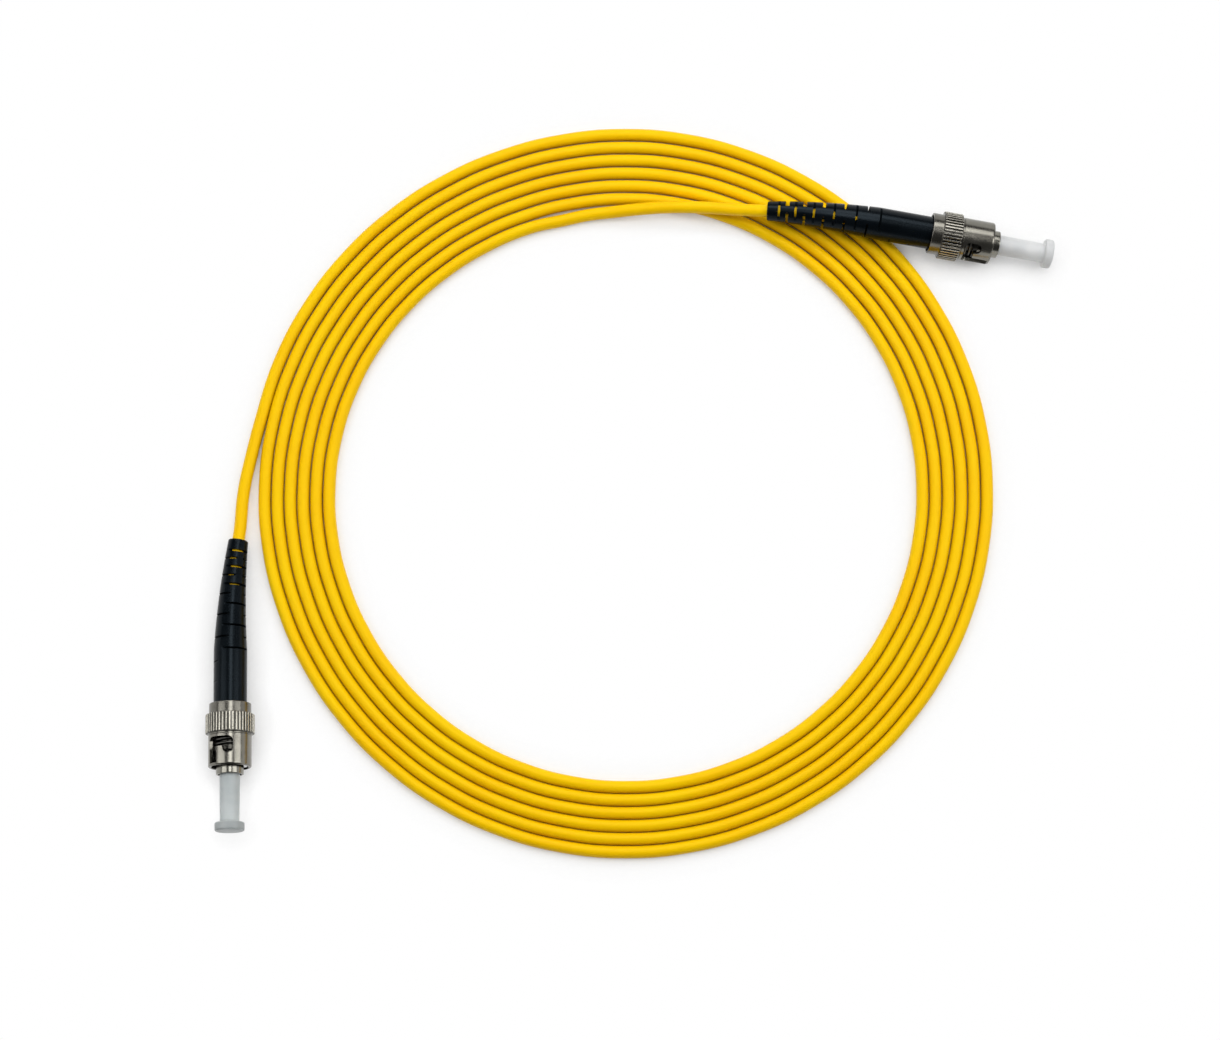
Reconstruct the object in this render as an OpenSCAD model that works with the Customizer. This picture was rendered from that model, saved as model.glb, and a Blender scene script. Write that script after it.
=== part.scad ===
// Simplex fibre optic patch cord, coiled flat, with a bayonet plug on each end.
// Millimetres. Z is up and the cord lies on the plane z = 0. The origin is under
// the middle of the box round the two plugs.
// Each plug is drawn along its own Z axis: z = 0 is the rear face of its coupling
// nut, +Z points to the ferrule tip and -X is the side that faces up as it lies.

/* [Cable] */
// Outside diameter of the cable jacket
cable_d = 2.8; // [2.4:0.1:3.2]
// Diameter of the tight-buffered fibre in the cable
buffer_d = 0.9; // [0.6:0.05:1]

/* [Coil] */
// Distance from the middle of the coil to the centre line of its outermost turn
coil_r = 84.5; // [70:0.5:100]
// How much further the coil reaches up and down the Y axis than along X
coil_oval = 0.4; // [0:0.1:1]
// Air between neighbouring turns where they lie closest
turn_air = 0.05; // [0.05:0.05:0.3]
// Extra air between neighbouring turns on the loose side of the coil
loose_air = 0.2; // [0:0.05:0.4]
// Whole turns in the coil
coil_turns = 6; // [3:1:8]

/* [Coupling nut] */
// Bore that goes over the barrel of the mating adapter
nut_bore_d = 8.1; // [7.9:0.05:8.3]
// Wall of the barrel that holds the bayonet slots
barrel_t = 0.7; // [0.55:0.05:0.9]
// Length of that barrel
barrel_l = 7.35; // [6.8:0.05:8]
// Wall of the ribbed grip, from the nut's bore to the top of the ribs
grip_t = 1.35; // [1.2:0.05:1.7]
// Length of the ribbed grip
grip_l = 4.4; // [4:0.1:5.5]
// Number of gripping ribs
grip_ribs = 44; // [32:2:52]
// Depth of the grooves between the ribs
rib_depth = 0.3; // [0.2:0.05:0.35]
// Wall of the plain collar behind the grip, from the nut's bore
collar_t = 0.575; // [0.5:0.025:0.7]
// Length of that collar
collar_l = 2.4; // [2.2:0.1:3]
// Thickness of the web inside the nut that the spring pushes on
web_t = 1; // [0.8:0.1:1.2]
// Width of a bayonet slot
slot_w = 2.2; // [2:0.1:2.4]
// Turn from the slot's entry to its locking hook, in degrees
lock_turn = 47; // [40:1:55]
// How far the locking hook reaches forward of the cross slot
hook_l = 1.6; // [1.2:0.1:2]
// Lip left in front of the slot's entry
lip_l = 0.55; // [0.4:0.05:0.8]

/* [Plug body] */
// Outside diameter of the pilot sleeve round the ferrule
pilot_d = 6.1; // [5.9:0.05:6.2]
// How far the pilot sleeve stands out of the nut
pilot_out = 1.6; // [1.2:0.1:2]
// Diameter of the neck that the nut turns on
neck_d = 5.6; // [5.4:0.1:6]
// Thickness of the shoulder in front of the spring
shoulder_t = 1; // [0.8:0.1:1.2]
// Width of the key that stops the plug from turning in its adapter
key_w = 1.5; // [1.2:0.1:1.8]
// Length of the neck that the cable is crimped to
crimp_neck_l = 6; // [5:0.5:7]
// Diameter of that neck
crimp_neck_d = 4; // [3.8:0.1:4.2]

/* [Ferrule] */
// Diameter of the ceramic ferrule
ferrule_d = 2.5; // [2.4:0.05:2.6]
// How far the ferrule stands out of the pilot sleeve
ferrule_out = 5.2; // [4.5:0.1:6]
// Diameter of the steel holder that grips the ferrule
holder_d = 3.8; // [3.6:0.1:4]

/* [Spring] */
// Diameter of the spring wire
wire_d = 0.5; // [0.4:0.05:0.55]
// Number of curls in the spring
spring_curls = 7; // [5:1:7]
// Length of the spring with the plug unmated
spring_l = 7.2; // [7:0.1:8]

/* [Dust cap] */
// Diameter of the cap's tube where it enters the pilot sleeve
cap_tube_d = 4.56; // [4.3:0.02:4.6]
// Diameter of the tube beside the cap's flange
cap_tip_d = 4.24; // [4:0.02:4.4]
// Length of tube that shows between the pilot sleeve and the flange
cap_tube_l = 10.5; // [9:0.1:12]
// Length of tube inside the pilot sleeve
cap_seat_l = 1.8; // [1.4:0.1:2.2]
// Diameter of the cap's flange
cap_flange_d = 6.55; // [6:0.05:7]
// Thickness of the flange
cap_flange_t = 1.95; // [1.6:0.05:2.4]

/* [Strain relief boot] */
// Length of boot behind the coupling nut
boot_l = 37.2; // [34:0.1:40]
// Diameter of the boot at the nut
boot_d = 7.35; // [7.1:0.05:7.6]
// Length of the slotted taper at the boot's tail
taper_l = 25; // [22:0.5:26]
// Wall of the boot round the cable at the tail
tail_wall = 0.8; // [0.6:0.05:1]
// Slots along the boot, each one an opposed pair of cuts
slot_rows = 11; // [8:1:11]
// Width of the slot nearest the tail in the boot's left and right sides
side_cut_w = 0.8; // [0.6:0.05:0.9]
// Width of the slot nearest the tail in its top and bottom
top_cut_w = 0.55; // [0.4:0.05:0.7]
// Width of the slot nearest the nut
cut_w_end = 0.45; // [0.35:0.05:0.6]

/* [Hidden] */

$fn = 64;
cut = 0.5;              // overshoot of a cutting solid past the faces it cuts
fit = 0.05;             // radial gap of a running fit
free = 0.3;             // gap between curved faces that must not touch
press = 0.02;           // radial gap drawn between parts pressed together
break_edge = 0.25;      // chamfer on turned edges

// Coupling nut, from its rear face forward
mouth_l = 1.2;
nut_l = collar_l + grip_l + barrel_l;
collar_d = nut_bore_d + 2 * collar_t;
grip_d = nut_bore_d + 2 * grip_t;
barrel_d = nut_bore_d + 2 * barrel_t;
mouth_d = nut_bore_d + 0.2;
web_z = mouth_l + web_t;
cross_z = collar_l + grip_l + 1 + slot_w / 2;
groove_d = nut_bore_d + 0.8;
hook_at = 179;          // angle of the locking hook round the plug, on plug A
hook_at_b = 219;        // the same on plug B, whose nut lies turned further

// Plug body
washer_t = 0.4;
washer_z = web_z;
shoulder_z = washer_z + washer_t + spring_l;
shoulder_d = nut_bore_d - 4 * fit;
pilot_z = shoulder_z + shoulder_t;
pilot_end = nut_l + pilot_out;
pilot_bore_d = cap_tube_d + 2 * free;
pilot_depth = 2.6;      // depth of the space round the ferrule
key_l = 1.8;
relief = 0.25;          // how far the sleeve is turned down beside the key ...
relief_w = 0.3;         // ... and past its end
ring_t = 0.6;
ring_z = mouth_l - ring_t;
ring_seat_d = neck_d - 1;
ring_gap = 70;          // opening of the retaining ring, in degrees
body_rear = -0.5;       // where the neck steps down to the crimp neck
fibre_bore_d = buffer_d + 0.3;
crimp_rib = 0.15;

// Ferrule and its holder
holder_rear = 4.6;
ferrule_rear = 6.6;
ferrule_tip = pilot_end + ferrule_out;
fibre_seat = 2;

// Spring
spring_mean_d = nut_bore_d - 2 * free - wire_d;
curl_rings = 8;

// Crimp and cable end
yarn_t = 0.26;
sleeve_t = 0.3;
sleeve_in_d = crimp_neck_d + 2 * (2 * press + yarn_t);
sleeve_d = sleeve_in_d + 2 * sleeve_t;
sleeve_front = body_rear - 0.4;
strip_l = 0.5;          // bare length between the crimp neck and the jacket
step_l = 0.6;           // from the jacket's end to where the crimp sleeve narrows
jacket_face = body_rear - crimp_neck_l - strip_l;
sleeve_step = jacket_face - step_l;
tail_grip_l = 4.2;
tail_grip_t = 0.5;
tail_grip_d = cable_d + 2 * fit + 2 * tail_grip_t;
sleeve_rear = sleeve_step - tail_grip_l;

// Boot
boot_front = 0.3;
straight_l = boot_l - taper_l;
boot_tail_d = cable_d + 2 * tail_wall;
boot_bore_d = cable_d + 2 * 0.1;
boot_sides = 24;
seat_air = 0.2;         // from the end of each pocket in the boot to what it holds
bend_steps = 8;
first_cut = 2.7;        // from the tail to the first slot
cut_step = 1.75;        // from that slot to the next
cut_growth = 0.05;      // growth of the spacing from slot to slot
cut_core = 0.7;         // from the axis to the floor of the first slot
cut_core_step = 0.07;   // how much shallower each next slot is

// How the boots lie: [bend in degrees, its direction round the plug, turn of the slots]
bend_a = [7.5, 90, -12];
bend_b = [11.3, -23, 0];

// Coil: the cable starts its outermost turn at coil_from and winds clockwise
turn_pitch = cable_d + turn_air;
coil_at = [-2.4, 6.6];
coil_from = 170;
coil_rest = 60;         // degrees wound past the whole turns
jog_from = 195;         // each turn steps inside the one before it from here ...
jog_span = 95;          // ... and over this many degrees
coil_rings = 24;        // rings in each turn
coil_sides = 6;
coil_sweep = 360 * coil_turns + coil_rest;
inner_turns = coil_turns + 1;

// Where the plugs lie, from the coil's left-most and innermost top points
coil_left = [coil_at[0] - coil_r, coil_at[1]];
coil_top = [coil_at[0], coil_at[1] + coil_r - inner_turns * (turn_pitch + loose_air)];
plug_a_off = [-2.7, -49.8];
plug_b_off = [69, -5.8];
plug_a_at = coil_left + plug_a_off;
plug_b_at = coil_top + plug_b_off;
yaw_a = -88.4;
yaw_b = -9.2;

// Plug A lies on the rear edge of its grip and on the tail of its boot
grip_rear = collar_l + break_edge;
pitch_a = asin((grip_d - boot_tail_d) / 2 / (boot_l + grip_rear));
z_a = grip_d / 2 * cos(pitch_a) - grip_rear * sin(pitch_a);

// Plug B lies on the front edge of its grip, with its boot across the outer turn
grip_front = collar_l + grip_l - break_edge;
over_turn = 9;          // from the nut to where the boot crosses the outer turn
lay_air = 0.12;
pitch_b = -asin((cable_d + lay_air + (boot_d - grip_d) / 2) / (over_turn + grip_front));
z_b = grip_d / 2 * cos(pitch_b) - grip_front * sin(pitch_b);

// Routes of the free cable: [x, y, height of its underside] from coil_left and coil_top
route_a = [[-1.4, -3.4, 0.25], [-0.8, 1.2, 0.1], [0, 5.2, 0]];
route_b = [
    [-14.2, -1.6, 0], [-8.6, -0.4, 0.2], [-3.6, 0.1, 0.65], [0.6, 0.4, 1.35], [4.6, 0.6, 2.05],
    [8.8, 0.7, 2.7], [13.6, 0.6, 3.3], [19, 0.3, 3.8], [24.4, -0.2, 4.2]
];
tail_sides = 8;
clear_l = 3;            // straight cable outside each boot

// ---------- curves and sweeps ----------

function unit(v) = v / norm(v);
function smooth(t) = let (u = min(max(t, 0), 1)) u * u * (3 - 2 * u);
function heading(p, i) = unit(p[min(i + 1, len(p) - 1)] - p[max(i - 1, 0)]);

// Corners of a ring of n sides round p[i], the first one on the side that ref points to
function ring(p, i, r, n, ref) =
    let (t = heading(p, i), side = unit(cross(t, ref)), top = cross(side, t))
    [for (k = [0:n - 1]) p[i] + r * (cos(360 * k / n) * top + sin(360 * k / n) * side)];

function ring_faces(rings, n) = concat(
    [for (i = [0:rings - 2], k = [0:n - 1]) let (a = i * n + k, b = i * n + (k + 1) % n)
        [b, a, a + n]],
    [for (i = [0:rings - 2], k = [0:n - 1]) let (a = i * n + k, b = i * n + (k + 1) % n)
        [b + n, b, a + n]],
    [for (k = [1:n - 2]) [0, k, k + 1]],
    [for (k = [1:n - 2]) let (e = (rings - 1) * n) [e, e + k + 1, e + k]]
);

// One closed tube through the points p, of radius r[i] at each
module swept(p, r, n, ref = [0, 0, 1]) {
    polyhedron(
        points = [for (i = [0:len(p) - 1], c = ring(p, i, r[i], n, ref)) c],
        faces = ring_faces(len(p), n)
    );
}

module tube(p, d, n, ref = [0, 0, 1]) swept(p, [for (q = p) d / 2], n, ref);

// Points on both flanks of a tube, at its rings and half way between them
function flank(p, d, n, s, ref) =
    let (w = s * d / 2 * cos(180 / n),
         c = [for (i = [0:len(p) - 1]) p[i] + w * unit(cross(heading(p, i), ref))])
    [for (i = [0:len(c) - 2], t = [0, 0.5]) c[i] + t * (c[i + 1] - c[i])];

// Least distance between turns, which lie a turn apart in the list of points
function least_gap(one, other, turn) = min([
    for (i = [0:len(one) - 1], j = [i + turn - 2:i + turn + 2]) if (j < len(other))
        norm(one[i] - other[j])
]);

// Revolved outline: [[radius, z], ...]
module turned(outline) rotate_extrude() polygon(outline);

// A ring from d0 to d1 between z0 and z1 with its two outer edges rounded
module round_rim(d0, d1, z0, z1, f0, f1) rotate_extrude() {
    translate([d0 / 2, z0]) square([d1 / 2 - max(f0, f1) - d0 / 2, z1 - z0]);
    translate([d0 / 2, z0 + f0]) square([(d1 - d0) / 2, z1 - z0 - f0 - f1]);
    if (f0 > 0) translate([d1 / 2 - f0, z0 + f0]) circle(f0);
    if (f1 > 0) translate([d1 / 2 - f1, z1 - f1]) circle(f1);
}

// ---------- lay of the coil ----------

function pitch_at(a) = turn_pitch + loose_air * pow((1 + sin(a)) / 2, 2);

// Turns stepped inward after w degrees of winding: a whole one in every jog
function steps_in(w) =
    let (t = (w + jog_from - coil_from) / 360, n = floor(t))
    n + smooth((t - n) * 360 / jog_span);

function coil_point(w) =
    let (a = coil_from - w, r = coil_r - coil_oval * cos(2 * a) - steps_in(w) * pitch_at(a))
    [coil_at[0] + r * cos(a), coil_at[1] + r * sin(a), cable_d / 2];

coil_wound = [for (i = [0:coil_sweep * coil_rings / 360]) coil_point(i * 360 / coil_rings)];
coil_last = len(coil_wound) - 1;

// The wound turns with a straight length of one diameter at each end, in line with the turns
ring_step = 360 / coil_rings;
coil_start = coil_wound[0] - cable_d * unit(coil_wound[0] - coil_point(-ring_step));
coil_end = coil_wound[coil_last]
    + cable_d * unit(coil_point(coil_sweep + ring_step) - coil_wound[coil_last]);
coil_line = concat([coil_start], coil_wound, [coil_end]);

coil_gap = least_gap(flank(coil_line, cable_d, coil_sides, 1, [0, 0, 1]),
    flank(coil_line, cable_d, coil_sides, -1, [0, 0, 1]), 2 * coil_rings);
echo(coil_gap = coil_gap);

// ---------- the plug's axis and where it lies ----------

// A point given along a plug's axis, as it lies in the part
function lie(p, at, z, pitch, yaw) =
    let (x = p[2] * cos(pitch) + p[0] * sin(pitch), h = p[2] * sin(pitch) - p[0] * cos(pitch))
    [at[0] + x * cos(yaw) - p[1] * sin(yaw), at[1] + x * sin(yaw) + p[1] * cos(yaw), z + h];

function lie_a(p) = lie(p, plug_a_at, z_a, pitch_a, yaw_a);
function lie_b(p) = lie(p, plug_b_at, z_b, pitch_b, yaw_b);

module plug_a()
    translate([plug_a_at[0], plug_a_at[1], z_a]) rotate([0, 90 - pitch_a, yaw_a]) children();
module plug_b()
    translate([plug_b_at[0], plug_b_at[1], z_b]) rotate([0, 90 - pitch_b, yaw_b]) children();

// The boot's centre line, s behind the nut: straight, then an even bend to the tail
function bend_turn(s, bend) = bend[0] * max(0, s - straight_l) / taper_l;
function boot_point(s, bend) =
    let (r = taper_l * 180 / PI / bend[0], t = bend_turn(s, bend), off = r * (1 - cos(t)))
    [off * cos(bend[1]), off * sin(bend[1]), -min(s, straight_l) - r * sin(t)];

module at_boot(s, bend)
    translate(boot_point(s, bend)) rotate([0, 0, bend[1]]) rotate([0, -bend_turn(s, bend), 0])
        rotate([0, 0, -bend[1]]) children();

function tail_line(bend) =
    [for (i = [0:bend_steps]) boot_point(straight_l + taper_l * i / bend_steps, bend)];

// ---------- the plug ----------

module ceramic_ferrule() color("ivory") difference() {
    tip = 0.35;
    turned([
        [0, ferrule_rear], [ferrule_d / 2, ferrule_rear], [ferrule_d / 2, ferrule_tip - tip],
        [ferrule_d / 2 - tip, ferrule_tip], [0, ferrule_tip]
    ]);
    translate([0, 0, ferrule_rear - cut]) cylinder(d = buffer_d + 2 * fit, h = fibre_seat + cut);
}

module steel_holder() color("lightsteelblue") {
    front = pilot_end - pilot_depth;
    difference() {
        turned([
            [0, holder_rear], [holder_d / 2, holder_rear], [holder_d / 2, front - break_edge],
            [holder_d / 2 - break_edge, front], [0, front]
        ]);
        translate([0, 0, ferrule_rear]) cylinder(d = ferrule_d + 2 * press, h = front);
        translate([0, 0, holder_rear - cut]) cylinder(d = fibre_bore_d, h = front);
    }
}

// Annular barbs on the crimp neck
module barbs() for (z = [body_rear - crimp_neck_l + 0.8:1:body_rear - 1])
    translate([0, 0, z]) rotate_extrude() translate([crimp_neck_d / 2, 0])
        circle(crimp_rib, $fn = 16);

module plug_shell() color("gainsboro") difference() {
    union() {
        turned([
            [0, body_rear - crimp_neck_l], [crimp_neck_d / 2, body_rear - crimp_neck_l],
            [crimp_neck_d / 2, body_rear], [neck_d / 2 - break_edge, body_rear],
            [neck_d / 2, body_rear + break_edge], [neck_d / 2, ring_z - fit],
            [ring_seat_d / 2, ring_z - fit], [ring_seat_d / 2, mouth_l],
            [neck_d / 2, mouth_l], [neck_d / 2, shoulder_z],
            [shoulder_d / 2, shoulder_z], [shoulder_d / 2, pilot_z - break_edge],
            [shoulder_d / 2 - break_edge, pilot_z], [pilot_d / 2 - relief, pilot_z],
            [pilot_d / 2 - relief, pilot_z + key_l + relief_w],
            [pilot_d / 2, pilot_z + key_l + relief_w], [pilot_d / 2, pilot_end - break_edge],
            [pilot_d / 2 - break_edge, pilot_end], [0, pilot_end]
        ]);
        intersection() {
            translate([0, -key_w / 2, pilot_z - cut]) cube([nut_bore_d, key_w, key_l + cut]);
            translate([0, 0, pilot_z - cut]) cylinder(d = shoulder_d - 2 * fit, h = key_l + cut);
        }
    }
    barbs();
    translate([0, 0, pilot_end - pilot_depth]) cylinder(d = pilot_bore_d, h = pilot_depth + cut);
    translate([0, 0, holder_rear]) cylinder(d = holder_d + 2 * press, h = pilot_end);
    translate([0, 0, body_rear - crimp_neck_l - cut]) cylinder(d = fibre_bore_d, h = pilot_end);
}

// One bayonet slot: a round cutter stops at its ends and corners, and runs between them
module lug_slot(at) {
    reach = barrel_d / 2 + cut;
    entry_l = nut_l - lip_l - cross_z;
    run_w = slot_w - 0.04;
    for (p = [[at, cross_z], [at + lock_turn, cross_z], [at, cross_z + hook_l]])
        rotate(p[0]) translate([0, 0, p[1]]) rotate([0, 90, 0]) cylinder(d = slot_w, h = reach);
    translate([0, 0, cross_z - run_w / 2]) rotate(at)
        rotate_extrude(angle = lock_turn) square([reach, run_w]);
    rotate(at) translate([0, -run_w / 2, cross_z]) cube([reach, run_w, hook_l]);
    rotate(at + lock_turn) translate([0, -run_w / 2, cross_z]) cube([reach, run_w, entry_l]);
    intersection() {
        rotate(at + lock_turn) translate([0, -run_w / 2, cross_z])
            cube([reach, run_w, nut_l - cross_z + cut]);
        cylinder(d = groove_d, h = nut_l + cut);
    }
}

module grip() intersection() {
    translate([0, 0, collar_l]) linear_extrude(grip_l) difference() {
        circle(d = grip_d);
        for (i = [0:grip_ribs - 1]) rotate(360 * (i + 0.5) / grip_ribs)
            translate([grip_d / 2 + rib_depth * 0.4, 0]) circle(rib_depth * 1.4, $fn = 16);
    }
    turned([
        [0, collar_l], [grip_d / 2 - break_edge, collar_l], [grip_d / 2, collar_l + break_edge],
        [grip_d / 2, collar_l + grip_l - break_edge],
        [grip_d / 2 - break_edge, collar_l + grip_l], [0, collar_l + grip_l]
    ]);
}

module bayonet_nut(hook) color("silver") difference() {
    union() {
        round_rim(0, collar_d, 0, collar_l + cut, break_edge, 0);
        grip();
        round_rim(0, barrel_d, collar_l + grip_l - cut, nut_l, 0, 0.5);
    }
    translate([0, 0, -cut]) cylinder(d = mouth_d, h = mouth_l + cut);
    translate([0, 0, -cut]) cylinder(d = neck_d + 2 * fit, h = nut_l);
    translate([0, 0, web_z]) cylinder(d = nut_bore_d, h = nut_l);
    for (side = [0, 180]) lug_slot(hook + side);
}

module washer() color("lightgray") translate([0, 0, washer_z]) difference() {
    cylinder(d = nut_bore_d - 2 * free, h = washer_t);
    translate([0, 0, -cut]) cylinder(d = neck_d + 4 * fit, h = washer_t + 2 * cut);
}

// Helix of the spring between the washer and the shoulder
function spring_line() =
    let (z0 = washer_z + washer_t + wire_d / 2, rise = spring_l - wire_d,
         count = spring_curls * curl_rings)
    [for (i = [0:count]) let (a = 360 * i / curl_rings)
        [spring_mean_d / 2 * cos(a), spring_mean_d / 2 * sin(a), z0 + rise * i / count]];

module spring() color("whitesmoke") tube(spring_line(), wire_d, 6, [0, 0, 1]);

spring_gap = (spring_l - wire_d) / spring_curls - wire_d;
echo(spring_gap = spring_gap);

module snap_ring() color("dimgray") translate([0, 0, ring_z]) {
    ring_d = neck_d + 1.6;
    difference() {
        cylinder(d = ring_d, h = ring_t);
        translate([0, 0, -cut]) cylinder(d = ring_seat_d + 2 * fit, h = ring_t + 2 * cut);
        translate([0, 0, -cut]) rotate(-ring_gap / 2)
            rotate_extrude(angle = ring_gap) square([ring_d, ring_t + 2 * cut]);
    }
}

module yarn() color("khaki") difference() {
    z0 = body_rear - crimp_neck_l;
    translate([0, 0, z0]) cylinder(d = sleeve_in_d - 2 * press, h = sleeve_front - 0.2 - z0);
    translate([0, 0, z0 - cut])
        cylinder(d = crimp_neck_d + 2 * press, h = crimp_neck_l + 2 * cut);
}

module crimp() color("darkgray") difference() {
    union() {
        intersection() {
            translate([0, 0, sleeve_step]) cylinder(d = sleeve_d, h = sleeve_front - sleeve_step);
            translate([0, 0, sleeve_step])
                cylinder(d = sleeve_d * 1.08, h = sleeve_front - sleeve_step, $fn = 6);
        }
        translate([0, 0, sleeve_rear]) cylinder(d = tail_grip_d, h = tail_grip_l + cut);
    }
    translate([0, 0, jacket_face - fit])
        cylinder(d = sleeve_in_d, h = sleeve_front - jacket_face + fit + cut);
    translate([0, 0, sleeve_rear - cut])
        cylinder(d = cable_d + 2 * fit, h = jacket_face - sleeve_rear + 2 * cut);
}

module fibre() color("white") translate([0, 0, jacket_face])
    cylinder(d = buffer_d, h = ferrule_rear + fibre_seat - 0.1 - jacket_face);

// Cable from the crimp to the tail of the boot, along the boot's bend
module held_cable(bend) color("gold")
    tube(concat([[0, 0, jacket_face]], tail_line(bend)), cable_d, tail_sides, [1, 0, 0]);

function boot_r(s) = let (t = min(1, (boot_l - s) / taper_l))
    boot_tail_d / 2 + (boot_d - boot_tail_d) / 2 * t;

module boot_skin(bend) {
    p = concat([[0, 0, boot_front]], tail_line(bend));
    lip = boot_point(boot_l - 0.4, bend);
    last = len(p) - 1;
    line = concat([for (i = [0:last - 1]) p[i]], [lip, p[last]]);
    r = concat([boot_d / 2], [for (i = [0:bend_steps - 1]) boot_r(straight_l + taper_l * i / bend_steps)],
        [boot_tail_d / 2, boot_tail_d / 2 - 0.25]);
    swept(line, r, boot_sides, [1, 0, 0]);
}

module boot(bend) color([0.11, 0.12, 0.13]) difference() {
    boot_skin(bend);
    tube(concat([[0, 0, cut - min(straight_l, -sleeve_rear)]], tail_line(bend),
        [boot_point(boot_l + cut, bend)]), boot_bore_d, 12, [1, 0, 0]);
    for (b = [[body_rear, neck_d], [sleeve_step, sleeve_d], [sleeve_rear, tail_grip_d]])
        translate([0, 0, b[0] - seat_air])
            cylinder(d = b[1] + 4 * fit, h = boot_front + cut - b[0] + seat_air);
    for (k = [0:slot_rows - 1]) {
        s = boot_l - first_cut - cut_step * k - cut_growth * k * k;
        w0 = k % 2 == 0 ? top_cut_w : side_cut_w;
        w = w0 + (cut_w_end - w0) * k / (slot_rows - 1);
        core = cut_core + cut_core_step * k;
        at_boot(s, bend) rotate(bend[2] + 90 * (k % 2)) for (side = [0, 180]) rotate(side)
            translate([core, -boot_d, -w / 2]) cube([boot_d, 2 * boot_d, w]);
    }
}

module cap() color("white") difference() {
    rear = pilot_end - cap_seat_l;
    flange = pilot_end + cap_tube_l;
    union() {
        translate([0, 0, rear])
            cylinder(d1 = cap_tube_d, d2 = cap_tip_d, h = cap_seat_l + cap_tube_l + cut);
        round_rim(0, cap_flange_d, flange, flange + cap_flange_t, 0.6, 0.6);
    }
    translate([0, 0, rear - cut])
        cylinder(d = ferrule_d + 2 * fit, h = ferrule_tip + 1 - rear + cut);
    translate([0, 0, rear - cut]) cylinder(d1 = ferrule_d + 1.6, d2 = ferrule_d, h = 2 * cut);
}

// ---------- the cable ----------

function on_floor(anchor, p) = [anchor[0] + p[0], anchor[1] + p[1], cable_d / 2 + p[2]];

tail_a_line = concat(
    [lie_a(boot_point(boot_l, bend_a)), lie_a(boot_point(boot_l + clear_l, bend_a))],
    [for (p = route_a) on_floor(coil_left, p)],
    [coil_start - clear_l * unit(coil_wound[0] - coil_start), coil_start]
);
tail_b_line = concat(
    [coil_end, coil_end + clear_l * unit(coil_end - coil_wound[coil_last])],
    [for (p = route_b) on_floor(coil_top, p)],
    [lie_b(boot_point(boot_l + clear_l, bend_b)), lie_b(boot_point(boot_l, bend_b))]
);

module coil() color("gold") tube(coil_line, cable_d, coil_sides);
module tail_a() color("gold") tube(tail_a_line, cable_d, tail_sides);
module tail_b() color("gold") tube(tail_b_line, cable_d, tail_sides);

plug_a() cap();  // dust_cap_a
plug_a() ceramic_ferrule();  // ferrule_a
plug_a() steel_holder();  // ferrule_holder_a
plug_a() plug_shell();  // plug_body_a
plug_a() bayonet_nut(hook_at);  // coupling_nut_a
plug_a() washer();  // thrust_washer_a
plug_a() spring();  // nut_spring_a
plug_a() snap_ring();  // retaining_ring_a
plug_a() yarn();  // aramid_yarn_a
plug_a() crimp();  // crimp_sleeve_a
plug_a() fibre();  // buffered_fibre_a
plug_a() held_cable(bend_a);  // cable_end_a
plug_a() boot(bend_a);  // strain_relief_boot_a

plug_b() cap();  // dust_cap_b
plug_b() ceramic_ferrule();  // ferrule_b
plug_b() steel_holder();  // ferrule_holder_b
plug_b() plug_shell();  // plug_body_b
plug_b() bayonet_nut(hook_at_b);  // coupling_nut_b
plug_b() washer();  // thrust_washer_b
plug_b() spring();  // nut_spring_b
plug_b() snap_ring();  // retaining_ring_b
plug_b() yarn();  // aramid_yarn_b
plug_b() crimp();  // crimp_sleeve_b
plug_b() fibre();  // buffered_fibre_b
plug_b() held_cable(bend_b);  // cable_end_b
plug_b() boot(bend_b);  // strain_relief_boot_b

coil();  // cable_coil
tail_a();  // cable_tail_a
tail_b();  // cable_tail_b
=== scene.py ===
import bpy
from math import asin, atan2, cos, degrees, floor, hypot, pi, radians, sin
from mathutils import Matrix, Vector


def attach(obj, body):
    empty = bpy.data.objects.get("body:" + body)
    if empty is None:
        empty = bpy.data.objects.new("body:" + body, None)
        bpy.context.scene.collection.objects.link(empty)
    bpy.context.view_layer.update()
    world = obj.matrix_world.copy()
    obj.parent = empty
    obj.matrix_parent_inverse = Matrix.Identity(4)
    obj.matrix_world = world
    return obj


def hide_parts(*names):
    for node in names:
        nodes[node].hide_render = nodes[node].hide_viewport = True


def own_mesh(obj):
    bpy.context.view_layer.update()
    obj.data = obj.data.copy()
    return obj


# Fibre optic patch cord: one cable wound in a flat coil, with a bayonet plug on each end.
# Pieces of a plug are modelled in millimetres along its own axis (0 is the rear face of the
# coupling nut, +Z points to the ferrule, -X faces up) and then laid where the plug lies.

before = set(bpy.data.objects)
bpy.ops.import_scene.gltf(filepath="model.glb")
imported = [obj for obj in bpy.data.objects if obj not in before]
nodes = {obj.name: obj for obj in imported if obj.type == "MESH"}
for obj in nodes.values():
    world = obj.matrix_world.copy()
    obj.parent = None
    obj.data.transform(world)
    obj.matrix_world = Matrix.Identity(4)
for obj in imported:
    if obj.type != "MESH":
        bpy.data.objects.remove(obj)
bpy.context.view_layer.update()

view = {  # metres, degrees, and the lens in millimetres
    "target": (-0.00588, -0.00108, 0.0), "distance": 0.650, "elevation": 80, "lens": 85.35,
}


def setCamera():
    lens = bpy.data.cameras.new("camera")
    lens.lens = view["lens"]
    lens.clip_start, lens.clip_end = 0.01, 20
    camera = bpy.data.objects.new("camera", lens)
    bpy.context.scene.collection.objects.link(camera)
    tilt = radians(view["elevation"])
    back = Vector((0, -cos(tilt), sin(tilt)))
    camera.location = Vector(view["target"]) + back * view["distance"]
    camera.rotation_euler = (pi / 2 - tilt, 0, 0)
    bpy.context.scene.camera = camera


setCamera()
print("camera set")

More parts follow.
